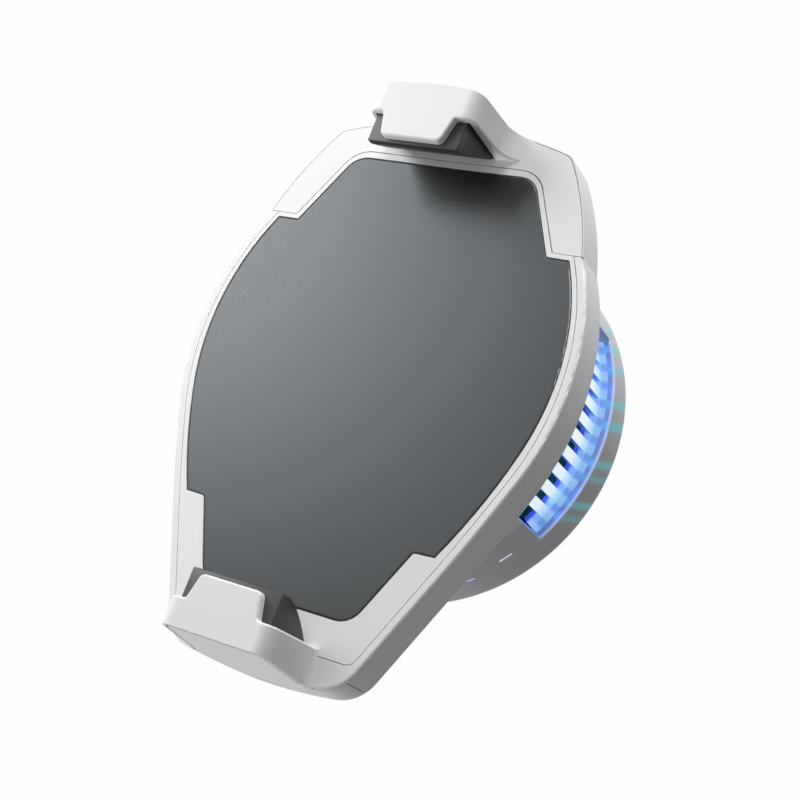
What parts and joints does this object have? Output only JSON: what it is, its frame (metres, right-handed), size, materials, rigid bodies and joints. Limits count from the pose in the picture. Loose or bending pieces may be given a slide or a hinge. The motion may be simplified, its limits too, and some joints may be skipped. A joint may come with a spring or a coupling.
{
  "type": "phone cooling fan",
  "caption": "Clip-on phone cooler with a flat metal cold plate, a fixed jaw and a spring-loaded sliding jaw, and a round fan drum with lit side vents behind the plate.",
  "frame": {"origin": "On the fan's axis, in the plane of the drum's rear rim.", "axes": "+Z runs along the fan's axis from the rear rim to the cold plate and the phone; +Y runs from the fixed jaw to the sliding jaw, the way the jaw opens; +X completes the right-handed set and points out of the right side vent."},
  "size_m": [0.059, 0.0806, 0.0359],
  "materials": {
    "white_plastic": "matt moulded",
    "plate_metal": "dark anodised, fine blasted",
    "black_rubber": "matt",
    "lit_bars": "translucent light guide",
    "white_light": "translucent light guide",
    "violet_light": "translucent light guide",
    "rod_steel": "ground",
    "screw_steel": "zinc plated",
    "bushing_brass": "turned",
    "sleeve_bronze": "sintered",
    "bare_aluminium": "extruded, bare",
    "ceramic": "fired ceramic",
    "thermal_pad": "soft filled silicone",
    "foam": "closed cell",
    "wire_red": "insulated",
    "black_plastic": "glass-filled, matt",
    "board": "solder mask",
    "led_package": "clear resin",
    "chip": "moulded",
    "nickel_shell": "nickel plated",
    "copper_coil": "enamelled copper",
    "core_steel": "laminated",
    "magnet": "bonded magnet"
  },
  "bodies": {
    "body": {"cold_plate": "plate_metal", "front_panel": "white_plastic", "front_frame": "white_plastic", "rear_housing": "white_plastic", "lower_jaw_pad": "black_rubber", "vent_grille_right": "lit_bars", "vent_grille_left": "lit_bars", "status_window_white": "white_light", "status_window_violet": "violet_light", "guide_bushings": "bushing_brass", "return_spring_left": "rod_steel", "return_spring_right": "rod_steel", "housing_screws": "screw_steel", "plate_screws": "screw_steel", "heatsink_screws": "screw_steel", "fan_screws": "screw_steel", "peltier_module": "ceramic", "hot_pad": "thermal_pad", "cold_pad": "thermal_pad", "foam_gasket": "foam", "peltier_leads": "wire_red", "heatsink": "bare_aluminium", "fan_frame": "black_plastic", "bearing_sleeve": "sleeve_bronze", "thrust_plate": "black_plastic", "motor_board": "board", "stator_core": "core_steel", "stator_coils": "copper_coil", "ring_board": "board", "leds": "led_package", "control_chips": "chip", "usb_socket": "nickel_shell", "thermistor": "chip", "rear_guard": "black_plastic", "hub_cap": "white_plastic"},
    "slider": {"slider_cover": "white_plastic", "slider_base": "white_plastic", "upper_jaw_pad": "black_rubber", "guide_rod_left": "rod_steel", "guide_rod_right": "rod_steel", "rod_clips": "screw_steel", "slider_screws": "screw_steel"},
    "fan": {"impeller": "black_plastic", "rotor_yoke": "core_steel", "magnet_ring": "magnet", "shaft": "rod_steel", "shaft_clip": "black_plastic"}
  },
  "joints": [
    {"name": "clamp_slide", "type": "slide", "parent": "body", "child": "slider", "axis": [0, 1, 0], "range_m": [0, 0.02], "stiffness_N_per_m": 300, "springref_m": -0.01, "deforming": ["return_spring_left", "return_spring_right"]},
    {"name": "fan_spin", "type": "hinge", "parent": "body", "child": "fan", "pos_m": [0, 0, 0.0055], "axis": [0, 0, 1], "continuous": true}
  ]
}
